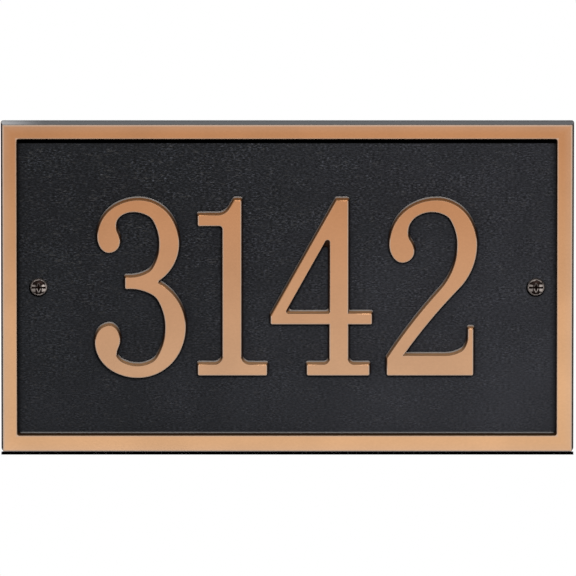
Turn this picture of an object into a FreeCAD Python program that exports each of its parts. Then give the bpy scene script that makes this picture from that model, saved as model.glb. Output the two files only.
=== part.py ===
import FreeCAD, Part

import math
import os
import re

import Sketcher

# House number plaque: a cast plate with a raised border, four cast numerals
# stuck to its sunken field, and two screws that hold it to a wall.
# Millimetres and degrees. X runs to the right, Y into the wall, Z up, and the
# origin is the middle of the plate's back.

SIZES = {
    # plate
    "plate_width": 279.4,
    "plate_height": 165.1,
    "base_thickness": 2.6,  # wall to field
    "border_relief": 4.0,  # field to the border's face
    "border_width": 7.15,  # the border's face at the ends
    "border_height": 7.55,  # the same along the top and the bottom
    "field_shift": -0.25,  # the field's middle, to the right of the plate's
    "field_lift": 0.35,  # the field's middle, above the plate's
    "side_draft": 7.0,  # slope of the outer sides
    "inner_draft": 10.0,  # slope of the border's inner walls
    "plate_corner": 1.25,  # outer corners, at the back
    "field_corner": 0.5,  # corners of the field
    "border_edge": 0.35,  # bevel along the border's face
    "field_fillet": 0.7,  # fillet between field and border
    "hole_inset": 18.4,  # from the plate's end to the middle of a hole
    "hole_clearance": 0.5,  # between a hole and a shank, across
    # all numerals
    "numeral_height": 87.8,
    "numeral_thickness": 4.4,
    "numeral_draft": 9.5,  # slope of the side walls
    "numeral_edge": 0.3,  # bevel along the face
    "corner_radius": 0.6,  # tips and ends of serifs
    "stem_width": 9.05,
    "foot_thickness": 5.6,
    "thin_stroke": 6.1,  # crown of a round numeral
    "round_overshoot": 1.25,  # how far a round foot drops below the line
    "outer_fullness": 0.93,  # how squarely a bowl's outside turns, less is squarer
    "inner_fullness": 0.45,  # the same for its inside
    # the row of numerals
    "row_shift": -0.7,  # its middle, to the right of the plate's
    "row_lift": 0.6,  # its middle, above the plate's
    "gap_three_one": 6.1,
    "gap_one_four": 1.98,
    "gap_four_two": 7.45,
    # numeral three, drops measured down from its top
    "three_width": 44.1,
    "three_crown": 21.3,
    "three_crown_inside": 18.6,
    "three_bottom": 20.7,
    "three_upper_right": 40.9,
    "three_upper_stroke": 9.5,
    "three_lower_stroke": 9.8,
    "three_middle_shift": 1.4,  # widest points, from mid bowl towards the arm
    "three_arm_left": 14.75,
    "three_arm_straight": 2.2,
    "three_arm_rise": 2.35,  # middle of the arm, above half height
    "three_arm_thickness": 5.9,
    "three_notch_left": 30.1,
    "three_notch_rise": 2.8,  # above half height
    "three_notch_radius": 0.8,
    "three_upper_left": 1.2,
    "three_upper_left_drop": 18.6,
    "three_upper_neck": 9.0,
    "three_upper_neck_drop": 12.7,
    "three_upper_ball": 10.9,
    "three_upper_ball_drop": 20.9,
    "three_upper_tip_left": 6.7,
    "three_upper_tip_drop": 26.5,
    "three_lower_left_height": 16.6,
    "three_lower_neck": 10.4,
    "three_lower_neck_height": 10.2,
    "three_lower_ball": 12.1,
    "three_lower_ball_height": 17.7,
    "three_lower_tip_left": 7.0,
    "three_lower_tip_height": 25.1,
    # numeral one
    "one_foot_left": 12.0,
    "one_foot_right": 12.5,
    "one_bracket": 4.2,
    "one_flag_drop": 7.5,
    "one_flag_thickness": 5.55,
    "one_flag_fillet": 1.8,
    "one_sweep_left": 13.3,
    "one_sweep_radius": 6.5,
    "one_tip_width": 3.35,
    # numeral four
    "four_stem_left": 28.6,
    "four_bar_height": 25.6,
    "four_bar_thickness": 5.55,
    "four_bar_right": 11.5,
    "four_heel": 4.2,  # upright end where bar and diagonal meet
    "four_top_width": 5.75,
    "four_diagonal_width": 6.2,  # measured level
    "four_window_corner": 1.0,
    "four_foot_left": 11.0,
    "four_foot_right": 10.3,
    "four_bracket": 3.0,
    # numeral two, drops measured down from its top
    "two_width": 43.8,
    "two_crown": 24.3,
    "two_crown_inside": 21.9,
    "two_stroke": 9.5,
    "two_right_drop": 22.4,
    "two_upper_left": 1.2,
    "two_upper_left_drop": 22.4,
    "two_neck": 9.0,
    "two_neck_drop": 16.2,
    "two_ball": 12.0,
    "two_ball_drop": 25.7,
    "two_tip_left": 7.45,
    "two_tip_drop": 31.4,
    "two_foot_width": 42.0,
    "two_foot_thickness": 10.0,
    "two_heel": 8.6,
    "two_inside_left": 8.0,
    "two_outer_bend": 32.2,
    "two_inner_bend": 34.3,
    "two_slope_bend": 273.0,
    "two_spur_left": 28.3,
    "two_spur_height": 23.6,
    "two_spur_width": 2.4,
    "two_spur_straight": 3.5,
    # adhesive pads
    "tape_thickness": 0.8,
    # screws
    "head_diameter": 8.6,
    "head_height": 2.7,
    "head_flat": 4.8,  # across the head's flat top
    "head_shoulder": 7.5,  # across its shoulder
    "head_shoulder_height": 1.95,
    "head_side": 0.9,
    "neck_diameter": 3.6,  # smooth part under the head
    "neck_reach": 1.0,  # how far it goes past the plate's back
    "shank_diameter": 4.2,
    "screw_length": 32.0,
    "point_length": 5.5,
    "recess_width": 4.4,
    "recess_slot": 1.0,
    "recess_depth": 1.7,
    "recess_draft": 10.0,
    "slot_length": 7.2,
    "slot_width": 0.8,
    "slot_depth": 1.15,
}

HOLE = "(plate_width / 2 - hole_inset)"  # from the middle of the plate
THIRD = 30.0  # a quarter turn is three arcs of this many degrees
SHORT = 1e-6  # millimetres that count as nothing
NEAR = 0.001  # millimetres within which a point is on a plane

doc = FreeCAD.newDocument("HouseNumberPlaque")
sheet = doc.addObject("Spreadsheet::Sheet", "Sizes")
for line, (size_name, size) in enumerate(SIZES.items(), 1):
    sheet.set("A%d" % line, size_name)
    sheet.set("B%d" % line, str(size))
    sheet.setAlias("B%d" % line, size_name)
doc.recompute()


def formula(text):
    """A formula with its size names written as cells of the sheet."""
    return re.sub(r"[a-z]+(?:_[a-z]+)+", lambda name: "Sizes." + name.group(0), text)


def number(text):
    """The value of a formula."""
    return float(sheet.evalExpression(formula(text)))


def unit(vector):
    """A vector's direction."""
    return FreeCAD.Vector(vector).normalize()


def along(vector, axis):
    """The direction along X or Z that a vector leans to."""
    if axis == "x":
        return FreeCAD.Vector(math.copysign(1, vector.x), 0, 0)
    return FreeCAD.Vector(0, math.copysign(1, vector.y), 0)


def other(axis):
    """The axis across this one."""
    return "z" if axis == "x" else "x"


class Outline:
    """A closed outline in a sketch, drawn move by move and tied to the sheet.

    Places are pairs of formulas. Between smooth places the outline runs along X
    or Z, and axis says which. A corner between two lines may have a radius.
    """

    def __init__(self, sketch, x, z, axis="x"):
        self.sketch = sketch
        self.axis = axis
        self.places = [(x, z)]
        self.moves = []
        self.radii = []
        self.shapes = []
        self.rules = []
        self.sizes = []

    def move(self, kind, x, z, details=(), radius=None):
        self.moves.append((kind, self.axis, details))
        self.places.append((x, z))
        self.radii.append(radius)

    def line(self, x, z, radius=None):
        """A straight edge, its far corner rounded where a radius is given."""
        self.move("line", x, z, radius=radius)

    def bowl(self, x, z, fullness="outer_fullness"):
        """A quarter turn, as three arcs."""
        self.move("bowl", x, z, (fullness,))
        self.axis = other(self.axis)

    def swing(self, x, z):
        """A step sideways without a turn, as two equal arcs."""
        self.move("swing", x, z)

    def leave(self, x, z):
        """One arc to a corner."""
        self.move("leave", x, z)

    def arrive(self, x, z, axis):
        """One arc from a corner that ends along the given axis."""
        self.axis = axis
        self.move("arrive", x, z)

    def slope_out(self, x, z, bend, slope):
        """A bend of one radius, then a hollow slope of another to a corner."""
        self.move("slope_out", x, z, (bend, slope))

    def slope_in(self, x, z, axis, bend, slope):
        """The same from a corner, ending along the given axis."""
        self.axis = axis
        self.move("slope_in", x, z, (bend, slope))

    def add_line(self, start, end):
        self.shapes.append(Part.LineSegment(start, end))
        return len(self.shapes) - 1, 1, 2

    def add_arc(self, centre, start, end, left):
        """An arc that turns left or right on its way from start to end."""
        first, last = (start, end) if left else (end, start)
        turns = [math.atan2(p.y - centre.y, p.x - centre.x) for p in (first, last)]
        if turns[1] < turns[0]:
            turns[1] += 2 * math.pi
        circle = Part.Circle(centre, FreeCAD.Vector(0, 0, 1), (start - centre).Length)
        self.shapes.append(Part.ArcOfCircle(circle, *turns))
        return (len(self.shapes) - 1,) + ((1, 2) if left else (2, 1))

    def rule(self, *arguments):
        self.rules.append(Sketcher.Constraint(*arguments))
        return len(self.rules) - 1

    def size(self, kind, edge, text, spot=None):
        """A dimension whose value is a formula."""
        value = number(text)
        if spot is None:
            index = self.rule(kind, edge, value)
        else:
            index = self.rule(kind, -1, 1, edge, spot, value)
        self.sizes.append((index, formula(text)))

    def fix(self, edge, spot, place):
        self.size("DistanceX", edge, place[0], spot)
        self.size("DistanceY", edge, place[1], spot)

    def square(self, edge, spot, axis):
        """The arc runs along the axis at this end, so its centre lies across it."""
        self.rule("Vertical" if axis == "x" else "Horizontal", edge, spot, edge, 3)

    def smooth(self, edges):
        """Each edge runs into the next without a corner."""
        for (edge, _, end), (following, start, _) in zip(edges, edges[1:]):
            self.rule("Tangent", edge, end, following, start)

    def draw_bowl(self, start, end, axis, fullness):
        ahead = along(end - start, axis)
        side = along(end - start, other(axis))
        far = (end - start).dot(ahead)
        wide = (end - start).dot(side)
        radius = number(fullness) * 2 * far * wide / (far + wide)
        sine = math.sin(math.radians(THIRD))
        cosine = math.cos(math.radians(THIRD))
        rest_far = far - radius * (cosine - sine)
        rest_wide = wide - radius * (cosine - sine)
        scale = (1 - cosine) ** 2 - sine**2
        first = ((1 - cosine) * rest_wide - sine * rest_far) / scale
        last = ((1 - cosine) * rest_far - sine * rest_wide) / scale
        left = ahead.cross(side).z > 0
        edges = []
        spot = start
        for size, heading in ((first, 0), (radius, 1), (last, 2)):
            turns = [math.radians(THIRD * step) for step in (heading, heading + 1)]
            radials = [side * math.cos(t) - ahead * math.sin(t) for t in turns]
            centre = spot + radials[0] * size
            edges.append(self.add_arc(centre, spot, centre - radials[1] * size, left))
            spot = centre - radials[1] * size
        self.smooth(edges)
        self.square(edges[0][0], edges[0][1], axis)
        self.square(edges[-1][0], edges[-1][2], other(axis))
        self.rule("Angle", edges[0][0], math.radians(THIRD))
        self.rule("Angle", edges[-1][0], math.radians(THIRD))
        return edges

    def draw_swing(self, start, end, axis):
        ahead = along(end - start, axis)
        side = along(end - start, other(axis))
        far = (end - start).dot(ahead)
        wide = (end - start).dot(side)
        turn = 2 * math.atan2(wide, far)
        radius = far / (2 * math.sin(turn))
        left = ahead.cross(side).z > 0
        middle = (start + end) / 2
        edges = [
            self.add_arc(start + side * radius, start, middle, left),
            self.add_arc(end - side * radius, middle, end, not left),
        ]
        self.smooth(edges)
        self.rule("Equal", edges[0][0], edges[1][0])
        self.square(edges[0][0], edges[0][1], axis)
        self.square(edges[1][0], edges[1][2], axis)
        return edges

    def draw_single(self, square, corner, axis, outward):
        """An arc between an end that is square to the axis and a corner."""
        step = corner - square
        side = along(step, other(axis))
        centre = square + side * (step.dot(step) / (2 * step.dot(side)))
        left = along(step, axis).cross(side).z > 0
        if outward:
            edge = self.add_arc(centre, square, corner, left)
            self.square(edge[0], edge[1], axis)
        else:
            edge = self.add_arc(centre, corner, square, not left)
            self.square(edge[0], edge[2], axis)
        return [edge]

    def draw_slope(self, square, corner, axis, bend, slope, outward):
        """A bend at the square end and a hollow slope at the corner."""
        bend_radius = number(bend)
        slope_radius = number(slope)
        step = corner - square
        ahead = along(step, axis)
        side = along(step, other(axis))
        centre = square + side * bend_radius
        gap = corner - centre
        reach = bend_radius + slope_radius
        share = (gap.dot(gap) + reach**2 - slope_radius**2) / (2 * gap.Length)
        across = math.sqrt(reach**2 - share**2)
        normal = FreeCAD.Vector(-gap.y, gap.x, 0).normalize()
        options = [centre + unit(gap) * share + normal * across * sign for sign in (1, -1)]
        joints = [centre + unit(c - centre) * bend_radius for c in options]
        pick = max((0, 1), key=lambda n: (joints[n] - square).dot(ahead))
        joint = joints[pick]
        left = ahead.cross(side).z > 0
        if outward:
            edges = [
                self.add_arc(centre, square, joint, left),
                self.add_arc(options[pick], joint, corner, not left),
            ]
            self.square(edges[0][0], edges[0][1], axis)
            radii = (bend, slope)
        else:
            edges = [
                self.add_arc(options[pick], corner, joint, left),
                self.add_arc(centre, joint, square, not left),
            ]
            self.square(edges[1][0], edges[1][2], axis)
            radii = (slope, bend)
        self.smooth(edges)
        for edge, radius in zip(edges, radii):
            self.size("Radius", edge[0], radius)
        return edges

    def draw(self):
        """Add the edges, their joints and their sizes to the sketch."""
        spots = [FreeCAD.Vector(number(x), number(z), 0) for x, z in self.places]
        if (spots[0] - spots[-1]).Length > SHORT:
            raise ValueError("the outline of %s is open" % self.sketch.Label)
        corners = {}
        chain = []
        count = len(self.moves)
        for i, (kind, axis, details) in enumerate(self.moves):
            start, end = spots[i], spots[i + 1]
            before, after = self.radii[i - 1], self.radii[i]
            if kind == "line":
                heading = unit(end - start)
                if before:
                    last_heading = unit(start - spots[i - 1] if i else start - spots[-2])
                    turn = heading.getAngle(last_heading)
                    start = start + heading * number(before) * math.tan(turn / 2)
                if after:
                    far = spots[i + 2] if i + 2 < len(spots) else spots[1]
                    turn = heading.getAngle(unit(far - end))
                    end = end - heading * number(after) * math.tan(turn / 2)
                edges = [self.add_line(start, end)]
            elif kind == "bowl":
                edges = self.draw_bowl(start, end, axis, *details)
                wide = "abs((%s) - (%s))" % (self.places[i + 1][0], self.places[i][0])
                high = "abs((%s) - (%s))" % (self.places[i + 1][1], self.places[i][1])
                radius = "%s * 2 * %s * %s / (%s + %s)" % (details[0], wide, high, wide, high)
                self.size("Radius", edges[1][0], radius)
            elif kind == "swing":
                edges = self.draw_swing(start, end, axis)
            elif kind in ("leave", "arrive"):
                outward = kind == "leave"
                ends = (start, end) if outward else (end, start)
                edges = self.draw_single(*ends, axis, outward)
            else:
                outward = kind == "slope_out"
                ends = (start, end) if outward else (end, start)
                edges = self.draw_slope(*ends, axis, *details, outward)
            chain.append(edges)
        for i, radius in enumerate(self.radii):
            here, following = chain[i][-1], chain[(i + 1) % count][0]
            place = self.places[i + 1]
            if radius is None:
                self.rule("Coincident", here[0], here[2], following[0], following[1])
                self.fix(here[0], here[2], place)
                continue
            corners[i] = self.add_corner(spots[i + 1], here, following, number(radius))
            arc, mark = corners[i]
            self.size("Radius", arc[0], radius)
            self.smooth([here, arc, following])
            self.fix(mark, 1, place)
            self.rule("PointOnObject", mark, 1, here[0])
            self.rule("PointOnObject", mark, 1, following[0])
        self.commit({mark for _, mark in corners.values()})

    def add_corner(self, spot, here, following, radius):
        """The rounding between two lines, and a point that marks their corner."""
        start = self.shapes[here[0]].EndPoint
        end = self.shapes[following[0]].StartPoint
        middle = unit((start + end) / 2 - spot)
        turn = (spot - start).getAngle(end - spot)
        centre = spot + middle * (radius / math.cos(turn / 2))
        left = (spot - start).cross(end - spot).z > 0
        arc = self.add_arc(centre, start, end, left)
        self.shapes.append(Part.Point(spot))
        return arc, len(self.shapes) - 1

    def commit(self, marks):
        """Put shapes, constraints and formulas into the sketch in one go."""
        base = self.sketch.GeometryCount
        self.sketch.addGeometry(self.shapes, False)
        for mark in marks:
            self.sketch.setConstruction(base + mark, True)
        if base:
            for rule in self.rules:
                for end in ("First", "Second"):
                    if getattr(rule, end) >= 0:
                        setattr(rule, end, getattr(rule, end) + base)
        first = self.sketch.ConstraintCount
        self.sketch.addConstraint(self.rules)
        for index, text in self.sizes:
            self.sketch.setExpression("Constraints[%d]" % (first + index), text)


def new_body(label, x="0", y="0", z="0"):
    """A body of the document, placed by formulas."""
    body = doc.addObject("PartDesign::Body", label)
    body.Label = label
    for axis, text in (("x", x), ("y", y), ("z", z)):
        body.setExpression("Placement.Base." + axis, formula(text))
    return body


def new_sketch(body, name, depth="0", role="XZ_Plane"):
    """A sketch on one of the body's own planes, moved forward by a depth."""
    sketch = body.newObject("Sketcher::SketchObject", name)
    planes = [plane for plane in body.Origin.OriginFeatures if plane.Role == role]
    sketch.AttachmentSupport = (planes[0], [""])
    sketch.MapMode = "FlatFace"
    sketch.setExpression("AttachmentOffset.Base.z", formula(depth))
    return sketch


def new_feature(body, kind, name, sketch, length=None, taper=None, reverse=False):
    """A pad or pocket of a sketch, sized by formulas."""
    before = 0 if body.Shape.isNull() else body.Shape.Volume
    feature = body.newObject("PartDesign::" + kind, name)
    feature.Profile = sketch
    feature.Reversed = reverse
    if length:
        feature.setExpression("Length", formula(length))
    if taper:
        feature.setExpression("TaperAngle", formula(taper))
    doc.recompute()
    gain = body.Shape.Volume - before
    if gain * (-1 if kind == "Pocket" else 1) < SHORT:
        raise ValueError("%s of %s changes nothing" % (name, body.Label))
    return feature


def edges_where(feature, test):
    """The names of the feature's edges whose every point passes a test."""
    names = []
    for n, edge in enumerate(feature.Shape.Edges, 1):
        middle = edge.valueAt((edge.FirstParameter + edge.LastParameter) / 2)
        if all(test(point) for point in [v.Point for v in edge.Vertexes] + [middle]):
            names.append("Edge%d" % n)
    return names


def new_fillet(body, name, feature, test, radius):
    """A fillet along the edges of a feature that pass a test."""
    fillet = body.newObject("PartDesign::Fillet", name)
    fillet.Base = (feature, edges_where(feature, test))
    fillet.setExpression("Radius", formula(radius))
    doc.recompute()
    return fillet


def new_chamfer(body, name, feature, test, size):
    """A bevel along the edges of a feature that pass a test."""
    chamfer = body.newObject("PartDesign::Chamfer", name)
    chamfer.Base = (feature, edges_where(feature, test))
    chamfer.setExpression("Size", formula(size))
    doc.recompute()
    return chamfer


def level(depth):
    """A test for points this far in front of the wall side of a body."""
    return lambda point: abs(point.y + number(depth)) < NEAR


def draw_rectangle(sketch, half_width, half_height, radius=None, middle=("0", "0")):
    """A rectangle about its middle, its corners rounded where a radius is given."""
    left, right = ["%s %s (%s)" % (middle[0], sign, half_width) for sign in "-+"]
    foot, top = ["%s %s (%s)" % (middle[1], sign, half_height) for sign in "-+"]
    outline = Outline(sketch, left, foot)
    for x, z in ((right, foot), (right, top), (left, top), (left, foot)):
        outline.line(x, z, radius)
    outline.draw()


def make_plate():
    """The casting: a drafted slab with its field sunk inside the border."""
    plate = new_body("plaque_plate")
    back = new_sketch(plate, "BackOutline")
    draw_rectangle(back, "plate_width / 2", "plate_height / 2", "plate_corner")
    thickness = "base_thickness + border_relief"
    slab = new_feature(plate, "Pad", "Slab", back, thickness, "-side_draft")
    slopes = "(%s) * tan(side_draft) + border_relief * tan(inner_draft)" % thickness
    field = new_sketch(plate, "FieldOutline", "base_thickness")
    half_width = "plate_width / 2 - border_width - (%s)" % slopes
    half_height = "plate_height / 2 - border_height - (%s)" % slopes
    middle = ("field_shift", "field_lift")
    draw_rectangle(field, half_width, half_height, "field_corner", middle)
    sunk = new_feature(plate, "Pocket", "SunkenField", field, "border_relief", "inner_draft", True)
    holes = new_sketch(plate, "ScrewHoles")
    diameter = "shank_diameter + hole_clearance"
    for side in (-1, 1):
        centre = FreeCAD.Vector(side * number(HOLE), 0, 0)
        circle = Part.Circle(centre, FreeCAD.Vector(0, 0, 1), number(diameter) / 2)
        hole = holes.addGeometry(circle, False)
        across = holes.addConstraint(Sketcher.Constraint("DistanceX", -1, 1, hole, 3, centre.x))
        holes.setExpression("Constraints[%d]" % across, formula("%d * %s" % (side, HOLE)))
        holes.addConstraint(Sketcher.Constraint("PointOnObject", hole, 3, -1))
        wide = holes.addConstraint(Sketcher.Constraint("Diameter", hole, number(diameter)))
        holes.setExpression("Constraints[%d]" % wide, formula(diameter))
    drilled = new_feature(plate, "Pocket", "WallHoles", holes, "base_thickness", None, True)
    face = level(thickness)
    bevelled = new_chamfer(plate, "BorderEdge", drilled, face, "border_edge")
    ground = level("base_thickness")
    beyond = number(HOLE + " + " + diameter)

    def at_foot(point):
        return ground(point) and (abs(point.x) > beyond or abs(point.z) > number(diameter))

    new_fillet(plate, "FieldFillet", bevelled, at_foot, "field_fillet")
    return plate


def draw_three(sketch):
    top = "numeral_height"
    notch = "(numeral_height / 2 + three_notch_rise)"
    middle = "(%s + numeral_height) / 2 - three_middle_shift" % notch
    lower = "(%s - round_overshoot) / 2 + three_middle_shift" % notch
    arm_top = "numeral_height / 2 + three_arm_rise + three_arm_thickness / 2"
    arm_foot = "numeral_height / 2 + three_arm_rise - three_arm_thickness / 2"
    arm_end = "three_arm_left + three_arm_straight"
    outline = Outline(sketch, "three_arm_left", arm_top)
    outline.line(arm_end, arm_top)
    outline.bowl("three_upper_right - three_upper_stroke", middle, "inner_fullness")
    outline.bowl("three_crown_inside", top + " - thin_stroke", "inner_fullness")
    outline.bowl("three_upper_left + three_upper_neck", top + " - three_upper_neck_drop")
    outline.swing("three_upper_left + three_upper_ball", top + " - three_upper_ball_drop")
    outline.bowl("three_upper_tip_left", top + " - three_upper_tip_drop")
    outline.bowl("three_upper_left", top + " - three_upper_left_drop")
    outline.bowl("three_crown", top)
    outline.bowl("three_upper_right", middle)
    outline.leave("three_notch_left", notch)
    outline.arrive("three_width", lower, "z")
    outline.bowl("three_bottom", "-round_overshoot")
    outline.bowl("0", "three_lower_left_height")
    outline.bowl("three_lower_tip_left", "three_lower_tip_height")
    outline.bowl("three_lower_ball", "three_lower_ball_height")
    outline.swing("three_lower_neck", "three_lower_neck_height")
    outline.bowl("three_bottom", "thin_stroke - round_overshoot")
    outline.bowl("three_width - three_lower_stroke", lower, "inner_fullness")
    outline.bowl(arm_end, arm_foot, "inner_fullness")
    outline.line("three_arm_left", arm_foot, "corner_radius")
    outline.line("three_arm_left", arm_top, "corner_radius")
    outline.draw()


def draw_one(sketch):
    right = "one_foot_left + stem_width"
    width = right + " + one_foot_right"
    flag_top = "numeral_height - one_flag_drop"
    flag_foot = flag_top + " - one_flag_thickness"
    outline = Outline(sketch, "0", "0", "z")
    outline.line("0", "foot_thickness", "corner_radius")
    outline.line("one_foot_left", "foot_thickness", "one_bracket")
    outline.line("one_foot_left", flag_foot, "one_flag_fillet")
    outline.line("0", flag_foot, "corner_radius")
    outline.line("0", flag_top, "corner_radius")
    outline.line("one_sweep_left", flag_top, "one_sweep_radius")
    outline.line(right + " - one_tip_width", "numeral_height", "corner_radius")
    outline.line(right, "numeral_height", "corner_radius")
    outline.line(right, "foot_thickness", "one_bracket")
    outline.line(width, "foot_thickness", "corner_radius")
    outline.line(width, "0", "corner_radius")
    outline.line("0", "0", "corner_radius")
    outline.draw()


def draw_four(sketch):
    right = "four_stem_left + stem_width"
    bar_top = "four_bar_height + four_bar_thickness"
    heel_top = "four_bar_height + four_heel"
    top_left = right + " - four_top_width"
    lean = "(%s) / (numeral_height - (%s))" % (top_left, heel_top)
    outline = Outline(sketch, "0", "four_bar_height", "z")
    outline.line("0", heel_top, "corner_radius")
    outline.line(top_left, "numeral_height", "corner_radius")
    outline.line(right, "numeral_height", "corner_radius")
    outline.line(right, bar_top)
    outline.line(right + " + four_bar_right", bar_top, "corner_radius")
    outline.line(right + " + four_bar_right", "four_bar_height", "corner_radius")
    outline.line(right, "four_bar_height")
    outline.line(right, "foot_thickness", "four_bracket")
    outline.line(right + " + four_foot_right", "foot_thickness", "corner_radius")
    outline.line(right + " + four_foot_right", "0", "corner_radius")
    outline.line("four_stem_left - four_foot_left", "0", "corner_radius")
    outline.line("four_stem_left - four_foot_left", "foot_thickness", "corner_radius")
    outline.line("four_stem_left", "foot_thickness", "four_bracket")
    outline.line("four_stem_left", "four_bar_height")
    outline.line("0", "four_bar_height", "corner_radius")
    outline.draw()
    low_left = "four_diagonal_width + (%s) * (four_bar_thickness - four_heel)" % lean
    apex = "%s + (four_stem_left - four_diagonal_width) / (%s)" % (heel_top, lean)
    window = Outline(sketch, low_left, bar_top)
    window.line("four_stem_left", bar_top, "four_window_corner")
    window.line("four_stem_left", apex, "four_window_corner")
    window.line(low_left, bar_top, "four_window_corner")
    window.draw()


def draw_two(sketch):
    top = "numeral_height"
    outline = Outline(sketch, "0", "0", "z")
    outline.line("0", "two_heel")
    inside = top + " - two_right_drop"
    outline.slope_in("two_width - two_stroke", inside, "z", "two_inner_bend", "two_slope_bend")
    outline.bowl("two_crown_inside", top + " - thin_stroke", "inner_fullness")
    outline.bowl("two_upper_left + two_neck", top + " - two_neck_drop")
    outline.swing("two_upper_left + two_ball", top + " - two_ball_drop")
    outline.bowl("two_tip_left", top + " - two_tip_drop")
    outline.bowl("two_upper_left", top + " - two_upper_left_drop")
    outline.bowl("two_crown", top)
    outline.bowl("two_width", top + " - two_right_drop")
    outline.slope_out("two_inside_left", "two_foot_thickness", "two_outer_bend", "two_slope_bend")
    outline.axis = "x"
    outline.line("two_spur_left", "two_foot_thickness")
    spur_left = "two_foot_width - two_spur_width"
    outline.bowl(spur_left, "two_spur_height - two_spur_straight", "inner_fullness")
    outline.line(spur_left, "two_spur_height", "corner_radius")
    outline.line("two_foot_width", "two_spur_height", "corner_radius")
    outline.line("two_foot_width", "0", "corner_radius")
    outline.line("0", "0", "corner_radius")
    outline.draw()


def make_numeral(name, draw, left, notch=None):
    """A cast numeral, and the adhesive pad behind it that stays inside its edge.

    The origin of each is the lower left of its front. A sharp notch in the outline
    is given by its place and radius.
    """
    low = "row_lift - numeral_height / 2"
    seat = "base_thickness + tape_thickness"
    numeral = new_body("numeral_" + name, left, "-(%s + numeral_thickness)" % seat, low)
    face = new_sketch(numeral, name.capitalize() + "Outline")
    draw(face)
    length = "numeral_thickness"
    casting = new_feature(numeral, "Pad", "Casting", face, length, "numeral_draft", True)
    if notch:
        x, z, radius = notch
        middle = FreeCAD.Vector(number(x), 0, number(z))
        reach = number("numeral_thickness / 2")

        def in_notch(point):
            return abs(point.x - middle.x) < reach and abs(point.z - middle.z) < reach

        casting = new_fillet(numeral, "Notch", casting, in_notch, radius)
    new_chamfer(numeral, "FaceEdge", casting, level("0"), "numeral_edge")
    tape = new_body("tape_" + name, left, "-(%s)" % seat, low)
    copy = tape.newObject("PartDesign::ShapeBinder", name.capitalize() + "Copy")
    copy.Support = (face, [""])
    new_feature(tape, "Pad", "Adhesive", copy, "tape_thickness")
    return [numeral, tape]


def make_row():
    """The numerals side by side, each placed by the widths and gaps before it."""
    notch = ("three_notch_left", "numeral_height / 2 + three_notch_rise", "three_notch_radius")
    row = [
        ("three", draw_three, notch, "three_width", "gap_three_one"),
        ("one", draw_one, None, "one_foot_left + stem_width + one_foot_right", "gap_one_four"),
        ("four", draw_four, None, "four_stem_left + stem_width + four_bar_right", "gap_four_two"),
        ("two", draw_two, None, "two_width", "0"),
    ]
    steps = ["%s + %s" % (width, gap) for _, _, _, width, gap in row]
    left = "row_shift - (%s) / 2" % " + ".join(steps)
    bodies = []
    for (name, draw, notch, _, _), step in zip(row, steps):
        bodies += make_numeral(name, draw, left, notch)
        left += " + " + step
    return bodies


def draw_cross(sketch):
    """A cross of two slots about the origin."""
    half = "recess_width / 2"
    slot = "recess_slot / 2"
    outline = Outline(sketch, "-" + slot, "-" + half)
    for n, (right, up) in enumerate(((1, -1), (1, 1), (-1, 1), (-1, -1))):
        corners = [(slot, half), (slot, slot), (half, slot)]
        for x, z in corners if n % 2 == 0 else reversed(corners):
            outline.line("%d * %s" % (right, x), "%d * %s" % (up, z))
    outline.draw()


def make_screw(name, x):
    """A pan head screw with a cross and a slot in its head, seated on the field."""
    screw = new_body("screw_" + name, x, "-base_thickness")
    profile = new_sketch(screw, "ScrewProfile", "0", "XY_Plane")
    outline = Outline(profile, "0", "-head_height")
    outline.line("head_flat / 2", "-head_height")
    outline.line("head_shoulder / 2", "-head_shoulder_height")
    outline.line("head_diameter / 2", "-head_side")
    outline.line("head_diameter / 2", "0")
    outline.line("neck_diameter / 2", "0")
    outline.line("neck_diameter / 2", "base_thickness + neck_reach")
    outline.line("shank_diameter / 2", "base_thickness + neck_reach")
    outline.line("shank_diameter / 2", "screw_length - point_length")
    outline.line("0", "screw_length")
    outline.line("0", "-head_height")
    outline.draw()
    turned = screw.newObject("PartDesign::Revolution", "Turned")
    turned.Profile = profile
    turned.ReferenceAxis = (profile, ["V_Axis"])
    doc.recompute()
    cross = new_sketch(screw, "CrossOutline", "head_height")
    draw_cross(cross)
    new_feature(screw, "Pocket", "CrossRecess", cross, "recess_depth", "-recess_draft")
    slot = new_sketch(screw, "SlotOutline", "head_height")
    draw_rectangle(slot, "slot_length / 2", "slot_width / 2")
    new_feature(screw, "Pocket", "HeadSlot", slot, "slot_depth")
    return screw


def check_sound():
    """Stop if anything is unsolved, loose, invalid or empty."""
    doc.recompute()
    for thing in doc.Objects:
        if {"Invalid", "Error"} & set(thing.State):
            raise ValueError("%s isn't computed" % thing.Label)
        if thing.TypeId == "Sketcher::SketchObject" and not thing.FullyConstrained:
            raise ValueError("%s isn't fully constrained" % thing.Label)
        if thing.TypeId == "PartDesign::Body" and (thing.Shape.isNull() or not thing.Shape.isValid()):
            raise ValueError("%s has no sound shape" % thing.Label)


bodies = [make_plate()] + make_row()
bodies += [make_screw("left", "-" + HOLE), make_screw("right", HOLE)]
check_sound()
os.makedirs("parts", exist_ok=True)
for body in bodies:
    body.Shape.exportStep("parts/%s.step" % body.Label)
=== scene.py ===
"""Dresses the house number plaque, with its numerals, foam pads and threaded screws, on a studio stage."""

import math

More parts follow.
